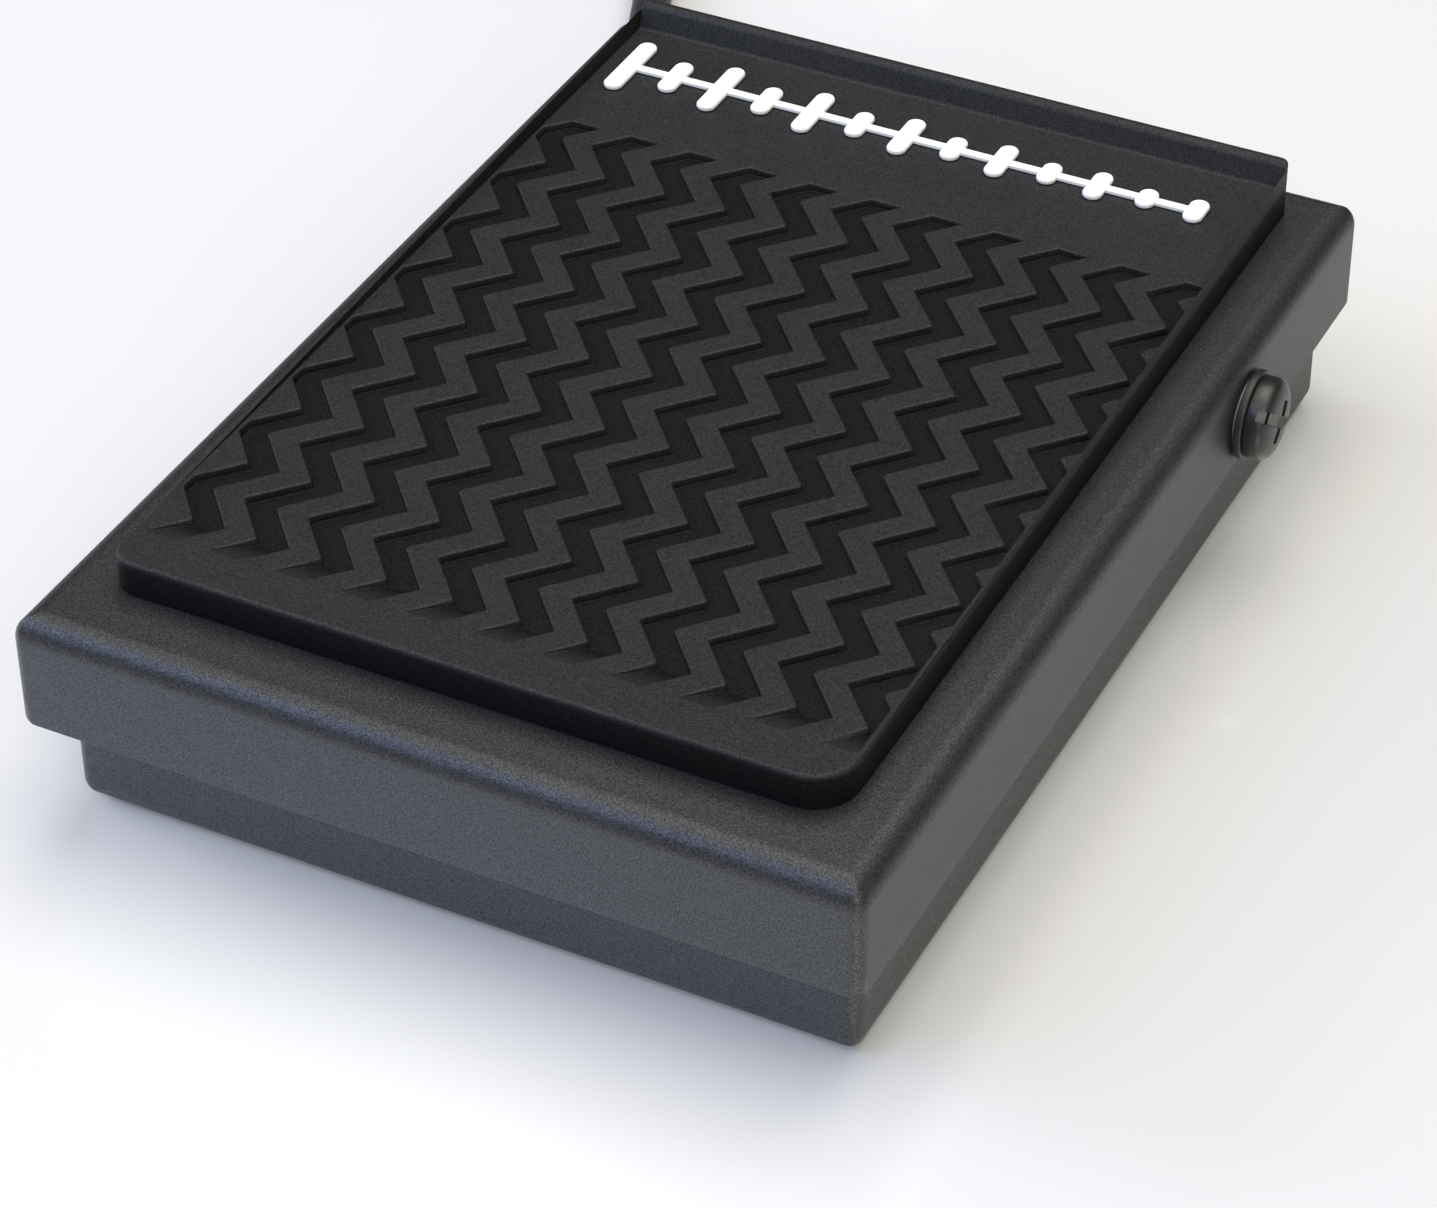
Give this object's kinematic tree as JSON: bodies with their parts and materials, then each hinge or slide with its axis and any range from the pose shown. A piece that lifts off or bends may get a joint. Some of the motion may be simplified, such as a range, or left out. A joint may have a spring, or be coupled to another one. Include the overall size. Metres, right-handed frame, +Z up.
{
  "type": "sustain pedal",
  "caption": "Low rocker-type keyboard sustain pedal: steel lid with zigzag rubber tread on a steel tray, sprung, working a switch with a short plug lead.",
  "frame": {"origin": "on the floor under the centre of the lid's rectangular outline", "axes": "+Z up, -Y towards the front (toe) edge that goes down, +X to the right seen from the front; the pivot runs along X"},
  "size_m": [0.1372, 0.1673, 0.0247],
  "materials": {
    "lid_paint": "satin charcoal powder coat with a fine speckle",
    "tray_paint": "satin charcoal powder coat",
    "pad_rubber": "matte moulded black rubber",
    "motif_white": "matte white raised print",
    "black_plastic": "moulded black plastic",
    "slider_plastic": "smooth black plastic",
    "nylon": "natural nylon",
    "sole_rubber": "ribbed black rubber sheet",
    "black_steel": "black oxide steel",
    "zinc_steel": "zinc plated steel",
    "stop_rubber": "black rubber",
    "spring_steel": "drawn spring wire",
    "brass": "tinned brass",
    "spring_strip": "stainless spring strip",
    "red_plastic": "red plastic",
    "cable_jacket": "matte black flexible jacket",
    "plug_cover": "moulded black soft plastic",
    "nickel": "nickel plated",
    "wire_red": "red insulation",
    "wire_black": "black insulation"
  },
  "bodies": {
    "base": {"spring_seat": "black_plastic", "microswitch_body": "black_plastic", "polarity_switch_body": "black_plastic", "pivot_washer_left": "black_plastic", "pivot_washer_right": "black_plastic", "plug_insulator": "black_plastic", "base_tray": "tray_paint", "rubber_sole": "sole_rubber", "pivot_screw_left": "black_steel", "pivot_screw_right": "black_steel", "polarity_screw_left": "black_steel", "polarity_screw_right": "black_steel", "pivot_nut_left": "zinc_steel", "pivot_nut_right": "zinc_steel", "switch_bracket": "zinc_steel", "bracket_screw_rear": "zinc_steel", "bracket_screw_front": "zinc_steel", "switch_screw_front": "zinc_steel", "switch_screw_rear": "zinc_steel", "switch_nut_front": "zinc_steel", "switch_nut_rear": "zinc_steel", "cable_crimp": "zinc_steel", "front_bumper_left": "stop_rubber", "front_bumper_right": "stop_rubber", "rear_bumper_left": "stop_rubber", "rear_bumper_right": "stop_rubber", "return_spring": "spring_steel", "switch_terminal_common": "brass", "switch_terminal_closed": "brass", "switch_terminal_open": "brass", "polarity_pin_1": "brass", "polarity_pin_2": "brass", "polarity_pin_3": "brass", "polarity_pin_4": "brass", "cable": "cable_jacket", "strain_relief": "cable_jacket", "plug_boot": "plug_cover", "plug_barrel": "plug_cover", "plug_sleeve": "nickel", "plug_tip": "nickel", "wire_core_red": "wire_red", "wire_lead_red": "wire_red", "wire_core_black": "wire_black", "wire_lead_black": "wire_black"},
    "treadle": {"cover": "lid_paint", "tread_pad": "pad_rubber", "pad_motif": "motif_white", "actuator_post": "black_plastic", "spring_boss": "black_plastic", "pivot_bush_left": "nylon", "pivot_bush_right": "nylon"},
    "switch_lever": {"switch_lever": "spring_strip"},
    "switch_plunger": {"switch_plunger": "red_plastic"},
    "polarity_slider": {"polarity_slider": "slider_plastic"}
  },
  "joints": [
    {"name": "treadle_hinge", "type": "hinge", "parent": "base", "child": "treadle", "pos_m": [0, 0.0237, 0.0138], "axis": [1, 0, 0], "range_deg": [0, 3.5], "stiffness_Nm_per_rad": 4, "springref_deg": -2.86, "deforming": ["return_spring"]},
    {"name": "lever_hinge", "type": "hinge", "parent": "base", "child": "switch_lever", "pos_m": [0.014, -0.008, 0.013], "axis": [1, 0, 0], "range_deg": [0, 11.5]},
    {"name": "plunger_slide", "type": "slide", "parent": "base", "child": "switch_plunger", "axis": [0, 0, -1], "range_m": [0, 0.00105]},
    {"name": "polarity_slide", "type": "slide", "parent": "base", "child": "polarity_slider", "axis": [1, 0, 0], "range_m": [0, 0.002]}
  ],
  "couplings": [
    {"joint": "lever_hinge", "follows": "treadle_hinge", "ratio": 3.2643},
    {"joint": "plunger_slide", "follows": "treadle_hinge", "m_per_rad": 0.016974}
  ]
}
